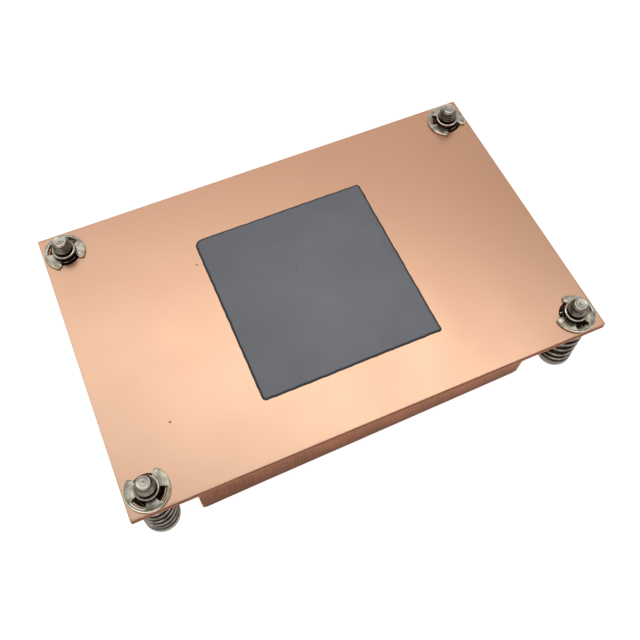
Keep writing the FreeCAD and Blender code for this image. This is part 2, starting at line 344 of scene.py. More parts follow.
@dataclass(frozen=True)
class LappedCopper:
    """Bare electrolytic copper, lapped flat on the contact face.

    Lapping leaves fine scratches, so the face shows soft wide highlights and a barely visible
    cloudiness. They are drawn some fifty times as wide as they are, so that they show at all. Its
    colour turns a little browner towards the back right corner, and it has two specks of dirt and
    a rubbed streak. At a grazing angle it mirrors paler.
    """

    fresh: str = "CDA78D"
    browner: str = "C99B7F"
    grazing: str = "EFD6C6"
    soiled: str = "5A3A2C"
    roughness: float = 0.31
    cloud: float = 15.0
    cloudiness: float = 0.04
    scratch: tuple[float, float, float] = (9.0, 0.22, 9.0)
    scratch_strength: float = 0.35
    scratch_depth: float = 0.002
    # the way its colour turns browner, where along that way it starts and ends, and how far clouds
    # shift it
    browner_way: tuple[float, float, float] = (0.5125, 0.8587, 0.0)
    browner_span: tuple[float, float] = (-20.0, 46.0)
    browner_shift: float = 24.0
    # place in X and Y, and radius, and the shares of it where a speck is full and is gone
    specks: tuple[tuple[float, float, float], ...] = ((-22.7, 14.7, 0.22), (-40.4, -18.7, 0.25))
    speck_edge: tuple[float, float] = (0.7, 1.2)
    # place in X and Y, turn in degrees, half the length and half the width
    streak: tuple[float, float, float, float, float] = (50.4, -19.1, -66.0, 5.0, 0.5)
    streak_roughness: float = 0.09

    def material(self) -> bpy.types.Material:
        """Makes the material: a metal whose tone and gloss vary in soft clouds.

        Returns:
            The material.
        """
        made, add = new_material("lapped_copper")
        place = (add("TexCoord"), "Object")
        cloud = add("TexNoise", {"Scale": 1 / (self.cloud * MM), "Detail": 3.0}, {"Vector": place})
        scratched = add("Mapping", {"Scale": per_size(self.scratch)}, {"Vector": place})
        scratches = add(
            "TexNoise", {"Scale": 1.0, "Detail": 2.0, "Roughness": 0.6}, {"Vector": scratched}
        )
        across = add("VectorMath", {"operation": "DOT_PRODUCT", 1: self.browner_way}, {0: place})
        shifted = add(
            "Math",
            {"operation": "MULTIPLY_ADD", 1: self.browner_shift * MM},
            {0: cloud, 2: (across, "Value")},
        )
        start, end = self.browner_span
        browner_share = add("MapRange", {"From Min": start * MM, "From Max": end * MM}, {"Value": shifted})
        tint = add(
            "Mix",
            {"data_type": "RGBA", FIRST: linear(self.fresh), SECOND: linear(self.browner)},
            {"Factor": browner_share},
        )
        full, gone = self.speck_edge
        for x, y, radius in self.specks:
            middle = (x * MM, y * MM, FACE * MM)
            away = add("VectorMath", {"operation": "DISTANCE", 1: middle}, {0: place})
            inside = add(
                "MapRange",
                {
                    "From Min": full * radius * MM,
                    "From Max": gone * radius * MM,
                    "To Min": 1.0,
                    "To Max": 0.0,
                },
                {"Value": (away, "Value")},
            )
            tint = add(
                "Mix",
                {"data_type": "RGBA", SECOND: linear(self.soiled)},
                {"Factor": inside, FIRST: (tint, MIXED)},
            )
        low, high = self.roughness - self.cloudiness, self.roughness + self.cloudiness
        gloss = add("MapRange", {"To Min": low, "To Max": high}, {"Value": cloud})
        x, y, angle, length, width = self.streak
        turned = add(
            "Mapping",
            {
                "vector_type": "TEXTURE",
                "Location": (x * MM, y * MM, FACE * MM),
                "Rotation": (0.0, 0.0, math.radians(angle)),
                "Scale": (length * MM, width * MM, 10 * MM),
            },
            {"Vector": place},
        )
        far = add("VectorMath", {"operation": "LENGTH"}, {0: turned})
        rubbed = add(
            "MapRange",
            {"From Min": 0.2, "From Max": 1.0, "To Min": self.streak_roughness, "To Max": 0.0},
            {"Value": (far, "Value")},
        )
        finish = add("Math", {"operation": "ADD"}, {0: gloss, 1: rubbed})
        relief = add(
            "Bump",
            {"Strength": self.scratch_strength, "Distance": self.scratch_depth * MM},
            {"Height": scratches},
        )
        metal = add(
            "BsdfPrincipled",
            {"Metallic": 1.0, "Specular Tint": linear(self.grazing)},
            {"Base Color": (tint, MIXED), "Roughness": finish, "Normal": relief},
        )
        add("OutputMaterial", links={"Surface": metal})
        return made


@dataclass(frozen=True)
class SkivedCopper:
    """Bare copper as the skiving blade leaves it on fins and sawn sides.

    The blade drags fine lines down the fin, from its free edge to its root, and the fresh surface
    dulls to a warm brown sooner than the lapped face, in uneven patches. The lines are drawn
    several times as far apart as they are, so that they show. The tone mixes in a colour that is
    both tarnished copper and painted shade, fully at one, and beyond one a darker colour that is
    painted deep shade.
    """

    colour: str = "D99A78"
    dulled: str = "B27458"
    # tarnished copper and painted shade, mixed in by the tone up to one
    tarnish_and_shade_colour: str = "774B3B"
    # painted deep shade, mixed in by the tone beyond one
    painted_deep_shade: str = "3A221A"
    grazing: str = "E6D5C9"
    roughness: float = 0.42
    patch: float = 8.0
    line: tuple[float, float, float] = (0.4, 0.4, 16.0)
    # how much less and more of the tarnished colour and painted shade a line holds
    dragged: tuple[float, float] = (0.9, 1.06)
    # how far the gloss of a line is from the roughness, at its least and at its most
    gloss_range: tuple[float, float] = (-0.08, 0.1)
    drag_strength: float = 0.3
    drag_depth: float = 0.01

    def material(self) -> bpy.types.Material:
        """Makes the material: lines down the fins over dull patches.

        Returns:
            The material.
        """
        made, add = new_material("skived_copper")
        place = (add("TexCoord"), "Object")
        patches = add(
            "TexNoise", {"Scale": 1 / (self.patch * MM), "Detail": 4.0}, {"Vector": place}
        )
        drawn_out = add("Mapping", {"Scale": per_size(self.line)}, {"Vector": place})
        lines = add("TexNoise", {"Scale": 1.0, "Detail": 2.0}, {"Vector": drawn_out})
        tint = add(
            "Mix",
            {"data_type": "RGBA", FIRST: linear(self.colour), SECOND: linear(self.dulled)},
            {"Factor": patches},
        )
        tarnish_and_shade_tone = (add("Attribute", {"attribute_name": "tone"}), "Fac")
        less, more = self.dragged
        smooth, rough = self.gloss_range
        dragged = add(
            "MapRange",
            {"From Min": 0.3, "From Max": 0.7, "To Min": less, "To Max": more},
            {"Value": lines},
        )
        tarnish_and_shade = add(
            "Math", {"operation": "MULTIPLY", "use_clamp": True}, {0: tarnish_and_shade_tone, 1: dragged}
        )
        # beyond one, the tone is painted deep shade
        beyond = add("Math", {"operation": "SUBTRACT", "use_clamp": True, 1: 1.0}, {0: tarnish_and_shade_tone})
        for colour, amount in ((self.tarnish_and_shade_colour, tarnish_and_shade), (self.painted_deep_shade, beyond)):
            tint = add(
                "Mix",
                {"data_type": "RGBA", SECOND: linear(colour)},
                {"Factor": amount, FIRST: (tint, MIXED)},
            )
        gloss = add(
            "MapRange",
            {"To Min": self.roughness + smooth, "To Max": self.roughness + rough},
            {"Value": lines},
        )
        relief = add(
            "Bump",
            {"Strength": self.drag_strength, "Distance": self.drag_depth * MM},
            {"Height": lines},
        )
        metal = add(
            "BsdfPrincipled",
            {"Metallic": 1.0, "Specular Tint": linear(self.grazing)},
            {"Base Color": (tint, MIXED), "Roughness": gloss, "Normal": relief},
        )
        add("OutputMaterial", links={"Surface": metal})
        return made


@dataclass(frozen=True)
class PrintedCompound:
    """Phase-change thermal compound, screen printed and dry to the touch.

    Metal oxide in wax: a matt even grey with a faint grain, a few darker specks, and painted
    shade at its rim where the layer's edge slopes to the copper. A painted highlight leaves it
    palest a little in front of its middle, and it darkens towards its sides.
    """

    colour: str = "7D7F84"
    mottled: str = "6B6D72"
    # colour of the specks, and of the painted shade at the rim
    rim: str = "2A2D31"
    roughness: float = 0.5
    cloud: float = 9.0
    grain: float = 0.4
    grain_depth: float = 0.02
    grain_strength: float = 0.3
    speck_spacing: float = 4.5
    # shares of the spacing where a speck is full and is gone, and how dark it is
    speck_edge: tuple[float, float] = (0.03, 0.07)
    speck_darkness: float = 0.5
    # a painted highlight: where the layer is palest in X and Y, how far that reaches, and the
    # change over that way
    palest: tuple[float, float] = (2.0, -6.0)
    reach: float = 34.0
    change: tuple[float, float] = (-0.25, 0.55)

    def material(self) -> bpy.types.Material:
        """Makes the material, with the painted shade of its rim read from tone.

        Returns:
            The material.
        """
        made, add = new_material("thermal_compound")
        place = (add("TexCoord"), "Object")
        clouds = add("TexNoise", {"Scale": 1 / (self.cloud * MM), "Detail": 5.0}, {"Vector": place})
        grain = add("TexNoise", {"Scale": 1 / (self.grain * MM), "Detail": 2.0}, {"Vector": place})
        cells = add("TexVoronoi", {"Scale": 1 / (self.speck_spacing * MM)}, {"Vector": place})
        full, gone = self.speck_edge
        specks = add(
            "MapRange",
            {"From Min": full, "From Max": gone, "To Min": self.speck_darkness, "To Max": 0.0},
            {"Value": (cells, "Distance")},
        )
        # painted highlight: the mix towards the darker colour is least near the palest place and
        # grows with distance
        middle = (self.palest[0] * MM, self.palest[1] * MM, FACE * MM)
        away = add("VectorMath", {"operation": "DISTANCE", 1: middle}, {0: place})
        thin = add(
            "MapRange",
            {"From Max": self.reach * MM, "To Min": self.change[0], "To Max": self.change[1]},
            {"Value": (away, "Value")},
        )
        printed = add("Math", {"operation": "ADD", "use_clamp": True}, {0: clouds, 1: thin})
        tint = add(
            "Mix",
            {"data_type": "RGBA", FIRST: linear(self.colour), SECOND: linear(self.mottled)},
            {"Factor": printed},
        )
        # painted shade along the rim, from the tone
        edge = (add("Attribute", {"attribute_name": "tone"}), "Fac")
        for amount in (specks, edge):
            tint = add(
                "Mix",
                {"data_type": "RGBA", SECOND: linear(self.rim)},
                {"Factor": amount, FIRST: (tint, MIXED)},
            )
        relief = add(
            "Bump",
            {"Strength": self.grain_strength, "Distance": self.grain_depth * MM},
            {"Height": grain},
        )
        paste = add(
            "BsdfPrincipled",
            {"Roughness": self.roughness, "IOR": 1.45},
            {"Base Color": (tint, MIXED), "Normal": relief},
        )
        add("OutputMaterial", links={"Surface": paste})
        return made


@dataclass(frozen=True)
class NickelledSteel:
    """Carbon steel with a thin nickel plate, on turned, stamped or coiled parts.

    Nickel is a warm grey and fairly bright. The plate follows the marks under it: fine rings on
    turned parts, and a matt grain on stamped parts and on wire, drawn coarser than it is so that
    it shows. The mark is its size in the three directions.
    """

    name: str
    colour: str
    shaded: str
    roughness: float
    mark: tuple[float, float, float]
    depth: float
    # painted shade, mixed in by the tone
    painted_shade: str = "3A2A22"
    stain: float = 1.6
    mark_strength: float = 0.4
    # how far the gloss of a mark is from the roughness, at its least and at its most
    gloss_range: tuple[float, float] = (-0.06, 0.08)

    def material(self) -> bpy.types.Material:
        """Makes the material, with its painted shade read from tone.

        Returns:
            The material.
        """
        made, add = new_material(self.name)
        place = (add("TexCoord"), "Object")
        stretched = add("Mapping", {"Scale": per_size(self.mark)}, {"Vector": place})
        marks = add("TexNoise", {"Scale": 1.0, "Detail": 3.0}, {"Vector": stretched})
        stains = add("TexNoise", {"Scale": 1 / (self.stain * MM), "Detail": 3.0}, {"Vector": place})
        stained = add("MapRange", {"From Min": 0.35, "From Max": 0.65}, {"Value": stains})
        tint = add(
            "Mix",
            {"data_type": "RGBA", FIRST: linear(self.colour), SECOND: linear(self.shaded)},
            {"Factor": stained},
        )
        # painted shade, from the tone
        painted_shade_amount = (add("Attribute", {"attribute_name": "tone"}), "Fac")
        soiled = add(
            "Mix",
            {"data_type": "RGBA", SECOND: linear(self.painted_shade)},
            {"Factor": painted_shade_amount, FIRST: (tint, MIXED)},
        )
        smooth, rough = self.gloss_range
        gloss = add(
            "MapRange",
            {"To Min": self.roughness + smooth, "To Max": self.roughness + rough},
            {"Value": marks},
        )
        relief = add(
            "Bump",
            {"Strength": self.mark_strength, "Distance": self.depth * MM},
            {"Height": marks},
        )
        metal = add(
            "BsdfPrincipled",
            {"Metallic": 1.0},
            {"Base Color": (soiled, MIXED), "Roughness": gloss, "Normal": relief},
        )
        add("OutputMaterial", links={"Surface": metal})
        return made


TURNED = NickelledSteel(
    "turned_nickelled_steel", "C6C1B4", "A29B8F", 0.22, (1.2, 1.2, 0.08), 0.0025
)
STAMPED = NickelledSteel(
    "stamped_nickelled_steel", "DAD5C4", "9A9583", 0.26, (0.3, 0.3, 0.3), 0.0025
)
DRAWN = NickelledSteel("drawn_spring_steel", "8E877B", "585047", 0.18, (0.5, 0.5, 0.5), 0.003)


@dataclass
class FinnedCopperBody:
    """The skived heat sink: a plate with four eased holes, and fins of one piece with it."""

    length: float = 108.0
    width: float = 70.0
    hole_radius: float = 3.15
    hole_chamfer: float = 0.3
    edge_radius: float = 0.08
    fin_count: int = 42
    short_fins: int = 5
    fin_pitch: float = 1.5
    fin_thickness: float = 0.5
    fin_root: float = 0.35
    short_length: float = 81.2
    corner_cut: float = 0.8
    # a free edge leans by this much, over the second length from the place in X
    lean: float = 1.15
    lean_over: float = 75.0
    upright_at: float = -40.0
    # how far a fin wanders and bows, and half of how much its free edge may lack
    wander: float = 0.05
    bow: float = 0.035
    ragged: float = 0.06
    # depth below the contact face and tone of the plate's sides, painted shade that is darkest in a
    # band just below the top edge
    side_painted_shade: tuple[tuple[float, float], ...] = (
        (0.04, 0.0), (0.1, 1.1), (0.4, 1.25), (0.95, 1.05), (1.84, 0.55), (2.0, 0.55)
    )
    # depth below the plate and tone of the outer faces of the outermost fins: tarnished copper, and
    # painted shade that grows towards the free edge
    fin_tarnish_and_shade: tuple[tuple[float, float], ...] = (
        (0, 0.6), (12, 0.66), (15, 0.66), (18, 0.92), (20, 1.05), (21.4, 1.35), (22, 1.5)
    )
    # unevenness of the tone on the sides and the fins, and how much darker the left end is
    side_mottle: float = 0.08
    fin_mottle: float = 0.14
    left_darkening: float = 0.25
    rim_steps: int = 16
    length_steps: int = 60
    width_steps: int = 36

    def build(self) -> bpy.types.Object:
        """Makes the plate and all fins as one object and lets it stand for the solid.

        Returns:
            The object.
        """
        shell = Shell("copper_body")
        self.add_faces(shell)
        self.add_border(shell)
        for corner in Corner:
            self.add_hole(shell, corner)
        for number in range(self.fin_count):
            self.add_fin(shell, number)
        piece = shell.build([LappedCopper().material(), SkivedCopper().material()])
        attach(piece, "heat_sink_body")
        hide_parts("finned_copper_body")
        return piece

    def lines(self, full: float, spacing: float, steps: int) -> np.ndarray:
        """Grid lines across one direction of the plate: evenly over the square round each hole
        and evenly between the squares, so that all patches share their border points.

        Args:
            full: The plate's size in this direction.
            spacing: How far apart the holes are in it.
            steps: How many steps lie between the squares.

        Returns:
            The places of the lines.
        """
        end = full / 2 - self.edge_radius
        start = spacing - end
        outer = np.linspace(start, end, self.rim_steps + 1)
        inner = np.linspace(-start, start, steps + 1)
        return np.concatenate([-outer[::-1], inner[1:-1], outer])

    def both_lines(self) -> tuple[np.ndarray, np.ndarray]:
        """The plate's grid lines along it and across it."""
        return (
            self.lines(self.length, SPACING[0], self.length_steps),
            self.lines(self.width, SPACING[1], self.width_steps),
        )

    def add_faces(self, shell: Shell) -> None:
        """The contact face and the underside, flat grids with a square left out at each hole.

        Args:
            shell: Takes the patches.
        """
        x, y = self.both_lines()
        near_x, near_y = (
            np.minimum(np.arange(len(line) - 1), np.arange(len(line) - 1)[::-1]) < self.rim_steps
            for line in (x, y)
        )
        keep = ~(near_x[:, None] & near_y[None, :])
        for level, finish in ((FACE, 0), (UNDERSIDE, 1)):
            grid = np.stack(np.broadcast_arrays(x[:, None], y[None, :], level), axis=-1)
            shell.add_grid(grid, finish, keep=keep)

    def add_border(self, shell: Shell) -> None:
        """The four sides: a wall with a small round at its top and bottom, carried along the
        plate's outline. Each outline point moves out by the same amount in X and Y at a corner,
        so the corners stay square.

        Args:
            shell: Takes the patches.
        """
        x, y = self.both_lines()
        outline = outline_of(((x[:-1], y[0]), (x[-1], y[:-1]), (x[:0:-1], y[-1]), (x[0], y[:0:-1])))
        out = np.where(np.isclose(np.abs(outline), [x[-1], y[-1]]), np.sign(outline), 0)
        radius = self.edge_radius
        turn = np.linspace(0, math.pi / 2, 5)
        wall = FACE - np.array([0.4, 0.65, 0.95])
        reach = np.concatenate(
            [radius * np.sin(turn), radius * np.ones(len(wall)), radius * np.cos(turn)]
        )
        level = np.concatenate(
            [
                FACE - radius + radius * np.cos(turn),
                wall,
                UNDERSIDE + radius - radius * np.sin(turn),
            ]
        )
        grid = with_height(outline[None] + out[None] * reach[:, None, None], level[:, None])
        # painted shade on the plate's sides, darkest just below the top edge
        soiled = np.interp(FACE - level, *zip(*self.side_painted_shade))[:, None]
        mottle = self.side_mottle * ripple(
            outline[:, 0] + outline[:, 1], outline[:, 1] * 0.5, seed=31, longest=14.0
        )
        tone = np.clip(soiled + mottle[None] * (soiled > 0), 0, 2)
        shell.add_grid(grid[:5], 0, loop=True)
        shell.add_grid(grid[4:], 1, loop=True, tone=tone[4:])

    def add_hole(self, shell: Shell, corner: Corner) -> None:
        """The square round a hole and its bore, in three grids: from the square's outline on
        the contact face straight to the rim, down the eased rim and the bore, and out to the
        same outline on the underside.

        Args:
            shell: Takes the patches.
            corner: Where the hole is.
        """
        half = self.length / 2 - self.edge_radius - SPACING[0] / 2
        side = np.linspace(-half, half, self.rim_steps + 1)[:-1]
        square = outline_of(((side, -half), (half, side), (-side, half), (-half, -side)))
        angle = np.arctan2(square[:, 1], square[:, 0])
        ring = np.stack([np.cos(angle), np.sin(angle)], -1)
        bore, rim = self.hole_radius, self.hole_radius + self.hole_chamfer
        share = np.linspace(0, 1, 7)[:, None, None]
        shift = (corner.axis - corner.square)[:2]
        top = square * (1 - share) + (ring * rim + shift) * share
        rings = np.stack([ring * radius + shift for radius in (rim, bore, bore)])
        heights = np.array([FACE, FACE - self.hole_chamfer, UNDERSIDE])[:, None]
        bottom = (ring * bore + shift) * (1 - share) + square * share
        for flat, height, finish in ((top, FACE, 0), (rings, heights, 1), (bottom, UNDERSIDE, 1)):
            shell.add_grid(with_height(flat, height) + corner.square, finish, loop=True)

    def half_length(self, number: int) -> float:
        """Half the length of a fin, which is short near the front and the back."""
        short = min(number, self.fin_count - 1 - number) < self.short_fins
        return (self.short_length if short else self.length) / 2

    def fin_surface(
        self, number: int, share: np.ndarray, depth: np.ndarray, swell: np.ndarray, side: np.ndarray
    ) -> np.ndarray:
        """Maps places on a fin to points. The fin's length shrinks by the corner's cut as the
        free edge comes near. Its place across the plate is its own middle plus half its
        thickness to the side, a lean that grows with depth and along X, a slow wander and a bow
        that is greatest at half depth. One side swells into the plate. Near the free edge it is
        short of the floor by up to twice the ragged length.

        Args:
            number: Which fin, counted from the front.
            share: Place along the fin, from minus one to one.
            depth: Depth below the plate.
            swell: How far the side swells out at that depth.
            side: Minus one for the front side and one for the other.

        Returns:
            The points, one more axis than the arguments.
        """
        half = self.half_length(number)
        middle = (number - (self.fin_count - 1) / 2) * self.fin_pitch
        down = np.clip(depth / UNDERSIDE, 0, 1)
        cut = np.clip(self.corner_cut - (UNDERSIDE - depth), 0, None)
        x = share * (half - cut)
        lean = down * self.lean * (x - self.upright_at) / self.lean_over
        wander = self.wander * down**2 * ripple(
            x * 0.6, np.full_like(x, number * 7.0), seed=11, waves=3, longest=46.0
        )
        bow = self.bow * np.sin(math.pi * down)
        y = middle + side * self.fin_thickness / 2 + (lean + wander) + bow
        y = y + np.where(side > 0, swell, 0)
        lack = self.ragged * (
            1 + ripple(x, np.full_like(x, number * 3.0), seed=23, longest=17.0)
        ) * down**8
        return np.stack([x, y, UNDERSIDE - depth + lack], -1)

    def add_fin(self, shell: Shell, number: int) -> None:
        """One fin as the surface of a box: its two sides, its two ends, and its top and free
        edge. It starts inside the plate, with a quarter round at its root. Each free edge is
        darkened with painted shade, and the outer faces of the outermost fins are tarnished and
        darken with painted shade towards the free edge.

        Args:
            shell: Takes the patches.
            number: Which fin, counted from the front.
        """
        along = np.concatenate([[-1, -0.985], np.linspace(-0.96, 0.96, 41), [0.985, 1]])
        root = self.fin_root
        down = np.concatenate(
            [
                [-0.05],
                root * np.sin(np.linspace(0, math.pi / 2, 5)),
                np.linspace(2.5, UNDERSIDE - 2.0, 6),
                UNDERSIDE - np.array([1.4, self.corner_cut, 0.4, 0.1, 0.0]),
            ]
        )
        swell = root * (1 - np.sqrt(np.clip(1 - (1 - np.clip(down, 0, root) / root) ** 2, 0, 1)))
        s, d = np.meshgrid(along, down, indexing="ij")
        w = np.broadcast_to(swell, s.shape)
        # painted shade along each free edge, near the floor
        painted_edge_shade = np.clip(1.35 - (UNDERSIDE - d) / 1.3, 0, 1)
        half = self.half_length(number)
        # tarnished copper and painted shade on the outer faces, darker towards the left end
        tarnish_and_shade = np.interp(d, *zip(*self.fin_tarnish_and_shade)) + self.left_darkening * np.clip(-s, 0, 1)
        tarnish_and_shade = tarnish_and_shade + self.fin_mottle * ripple(
            s * half, s * half * 0.6 + d * 1.5, seed=41, longest=13.0
        )
        outermost = {(0, -1.0), (self.fin_count - 1, 1.0)}
        for side in (-1.0, 1.0):
            stain = np.clip(
                np.maximum(painted_edge_shade, tarnish_and_shade) if (number, side) in outermost else painted_edge_shade, 0, 2
            )
            shell.add_grid(self.fin_surface(number, s, d, w, np.full_like(s, side)), 1, tone=stain)
        sides = np.array([-1.0, 1.0])[:, None]
        for end in (0, -1):
            for cut in (np.s_[end], np.s_[:, end]):
                strip = np.broadcast_arrays(s[cut][None], d[cut][None], w[cut][None], sides)
                stain = np.repeat(painted_edge_shade[cut][None], 2, 0)
                shell.add_grid(self.fin_surface(number, *strip), 1, tone=stain)


@dataclass
class ThermalPad:
    """The printed square of compound: slightly crowned at its rim, which is soft and uneven."""

    length: float = 42.0
    width: float = 43.3
    centre: tuple[float, float] = (-0.4, -0.7)
    thickness: float = 0.25
    slope: float = 0.42
    corner_radii: tuple[float, float, float, float] = (1.1, 0.7, 1.0, 2.1)
    # half of how far the printed edge moves in, in slow and in fine waves
    slow_wobble: float = 0.06
    fine_wobble: float = 0.045
    around: int = 720
    rings: int = 11

    def build(self) -> bpy.types.Object:
        """Makes the pad and lets it stand for the solid.

        Returns:
            The object.
        """
        shell = Shell("compound_square")
        line = self.outline()
        inner = self.offset(line, -self.slope)
        rise = np.linspace(0, 1, 6)
        flat = line[None] * (1 - rise[:, None, None]) + inner[None] * rise[:, None, None]
        height = self.thickness * np.sin(rise * math.pi / 2) ** 0.8
        height[0] = 0.0
        inward = np.concatenate([[1, 0.994, 0.985], np.linspace(0.96, 0, self.rings)])
        share = inward[:, None, None]
        tone = self.painted_rim_shade(1 + (1 - inward) * 24)
        patches = (
            (flat, height[:, None], self.painted_rim_shade(rise)),
            (inner[None] * share, self.thickness, tone),
            (line[None] * share, 0.0, np.ones(len(inward))),
        )
        middle = np.array([self.centre[0], self.centre[1], 0.0])
        for flat, height, tone in patches:
            grid = with_height(flat, height + FACE) + middle
            shell.add_grid(grid, loop=True, tone=spread(tone, self.around))
        piece = shell.build([PrintedCompound().material()], sharp=60.0)
        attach(piece, "heat_sink_body")
        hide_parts("thermal_pad")
        return piece

    @staticmethod
    def painted_rim_shade(share: np.ndarray) -> np.ndarray:
        """How dark the painted shade at the rim is: full on the slope, gone just inside it."""
        return np.clip((1.2 - share) / 0.25, 0, 1)

    def outline(self) -> np.ndarray:
        """The printed edge: a rectangle with a quarter round of its own radius at each corner,
        shared into even steps, then moved in by up to 0.2 mm in fixed waves.

        Returns:
            The flat points of the closed edge.
        """
        half = np.array([self.length / 2, self.width / 2])
        points = []
        for sign, radius in zip(((-1, -1), (1, -1), (1, 1), (-1, 1)), self.corner_radii):
            start = math.atan2(sign[1], sign[0]) - math.pi / 4
            turn = start + np.linspace(0, math.pi / 2, 9)
            middle = half * sign - radius * np.array(sign)
            points.append(middle + radius * np.stack([np.cos(turn), np.sin(turn)], -1))
        line = np.concatenate(points + [points[0][:1]])
        steps = np.concatenate([[0], np.cumsum(np.linalg.norm(np.diff(line, axis=0), axis=1))])
        even = np.linspace(0, steps[-1], self.around, endpoint=False)
        line = np.stack([np.interp(even, steps, line[:, i]) for i in range(2)], -1)
        wobble = self.slow_wobble * (1 + ripple(line[:, 0], line[:, 1], seed=5, longest=9.0))
        wobble = wobble + self.fine_wobble * (
            1 + ripple(line[:, 0], line[:, 1], seed=9, waves=3, longest=2.6)
        )
        return self.offset(line, -wobble[:, None])

    @staticmethod
    def offset(line: np.ndarray, distance: Any) -> np.ndarray:
        """Moves each point of a closed outline out along the outline's normal there.

        Args:
            line: The flat points of the outline.
            distance: How far, for all points or for each.

        Returns:
            The moved points.
        """
        along = np.roll(line, -1, 0) - np.roll(line, 1, 0)
        along = along / np.linalg.norm(along, axis=1, keepdims=True)
        return line + np.stack([along[:, 1], -along[:, 0]], -1) * distance


@dataclass
class CaptiveScrew:
    """A turned screw: head with a cross recess, shank, clip groove, collar and M4 end."""

    corner: Corner
    head_end: float = 5.8
    head_radius: float = 4.0
    head_bevel: float = 0.35
    head_seat: float = 8.0
    shank_radius: float = 2.6
    groove_radius: float = 1.8
    groove: tuple[float, float] = (23.95, 24.75)
    collar_top: float = 25.7
    thread_radius: float = 2.0
    thread_depth: float = 0.28
    # how much slimmer the screw is where the thread starts
    relief: float = 0.3
    pitch: float = 0.7
    tip: float = 29.0
    tip_bevel: float = 0.5
    tip_radius: float = 1.33
    lead_radius: float = 1.66
    columns: int = 96
    thread_steps: int = 84

    def build(self) -> bpy.types.Object:
        """Makes the screw and lets it stand for the solid.

        Returns:
            The object.
        """
        shell = Shell("turned_screw_" + self.corner.label)
        angle = full_turn(self.columns)
        thread = self.thread_rows(angle)
        for rows, painted_shade in (self.turned_rows(angle), thread, self.tip_rows(angle, thread[0][-1])):
            shell.add_grid(rows, loop=True, tone=painted_shade)
        shell.add_grid(self.recess_rows(angle), loop=True)
        shell.points = [points + self.corner.axis for points in shell.points]
        piece = shell.build([TURNED.material()])
        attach(piece, "screw_" + self.corner.label)
        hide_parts("captive_screw_" + self.corner.label)
        return piece

    @staticmethod
    def turn(angle: np.ndarray, radius: Any, height: Any) -> np.ndarray:
        """A surface of revolution: each row has its radius and height, each column an angle.

        Args:
            angle: The angle of each column, in radians.
            radius: One for each row, or one for each row and column.
            height: The same.

        Returns:
            The grid of points.
        """
        radius, height = np.broadcast_arrays(np.asarray(radius, float), np.asarray(height, float))
        radius = radius.reshape(radius.shape[0], -1) * np.ones(len(angle))
        height = height.reshape(height.shape[0], -1) * np.ones(len(angle))
        return np.stack([radius * np.cos(angle), radius * np.sin(angle), height], -1)

    def turned_rows(self, angle: np.ndarray) -> tuple[np.ndarray, np.ndarray]:
        """The plain turned length from the head's bevel to the thread's relief, with each edge
        broken by 0.05 to 0.35 mm, and its painted shade: most in the groove and on the shank
        above the plate, least on the collar's edge, which stays bright.

        Args:
            angle: The angle of each column, in radians.

        Returns:
            The grid and its painted shade.
        """
        low, high = self.groove
        head, shank = self.head_radius, self.shank_radius
        seat, top = self.head_seat, self.collar_top
        # radius, height and painted shade
        profile = [
            (head - self.head_bevel, self.head_end, 0.1),
            (head - 0.08, self.head_end + 0.2, 0.0),
            (head, self.head_end + 0.4, 0.6),
            (head, seat - 0.3, 0.8),
            (head - 0.06, seat - 0.06, 0.8),
            (head - 0.2, seat, 0.8),
            (shank + 0.15, seat, 0.8),
            (shank, seat + 0.15, 0.6),
            (shank, low - 2.2, 0.5),
            (shank, low - 0.1, 0.8),
            (shank - 0.1, low, 0.8),
            (self.groove_radius, low, 0.8),
            (self.groove_radius, high, 1.0),
            (shank - 0.08, high, 1.0),
            (shank, high + 0.08, 0.92),
            (shank, top - 0.3, 0.88),
            (shank - 0.02, top - 0.14, 0.5),
            (shank - 0.1, top - 0.04, 0.0),
            (shank - 0.22, top, 0.0),
            (shank - 0.32, top, 0.75),
            (self.thread_radius - self.relief, top, 1.0),
        ]
        table = np.array(profile)
        return self.turn(angle, table[:, :1], table[:, 1:2]), spread(table[:, 2], len(angle))

    def thread_rows(self, angle: np.ndarray) -> tuple[np.ndarray, np.ndarray]:
        """The thread, and its painted shade, dark all over and darkest in its grooves. The radius
        falls and rises once in every pitch of height, and the ridge climbs by one pitch in a full
        turn. The groove fades in above the collar, and the ridge gets lower over the last pitch
        before the bevel.

        Args:
            angle: The angle of each column, in radians.

        Returns:
            The grid and its painted shade.
        """
        start, end = self.collar_top, self.tip - self.tip_bevel
        height = np.linspace(start, end, self.thread_steps)[:, None]
        phase = (height / self.pitch - angle[None] / (2 * math.pi)) % 1.0
        ridge = np.clip((np.abs(phase - 0.5) * 2 - 0.1) / 0.72, 0, 1)
        taper = np.clip((height - (end - self.pitch)) / self.pitch, 0, 1)
        crest = self.thread_radius - (self.thread_radius - self.lead_radius) * taper
        groove = self.thread_depth * (1 - ridge) * (1 - 0.85 * taper)
        grown = np.clip((height - start) / (0.5 * self.pitch), 0, 1)
        radius = (self.thread_radius - self.relief) * (1 - grown) + (crest - groove) * grown
        painted_shade = np.clip(0.74 + 0.3 * groove / self.thread_depth + 1 - grown, 0, 1)
        return self.turn(angle, radius, np.broadcast_to(height, radius.shape)), painted_shade

    def tip_rows(self, angle: np.ndarray, last: np.ndarray) -> tuple[np.ndarray, np.ndarray]:
        """The bevel above the last turn, the lip, and a shallow cup with the mark of the parting
        tool in its middle, with painted shade on each: dark on the bevel, none on the lip, a
        little in the cup and more on the mark.

        Args:
            angle: The angle of each column, in radians.
            last: The last row of the thread.

        Returns:
            The grid and its painted shade.
        """
        first = np.hypot(last[:, 0], last[:, 1])
        share = np.linspace(0, 1, 5)[:, None]
        edge = self.tip_radius
        drop = self.tip_bevel * (1 - share) + 0.05 * share
        bevel = self.turn(angle, first * (1 - share) + edge * share, self.tip - drop)
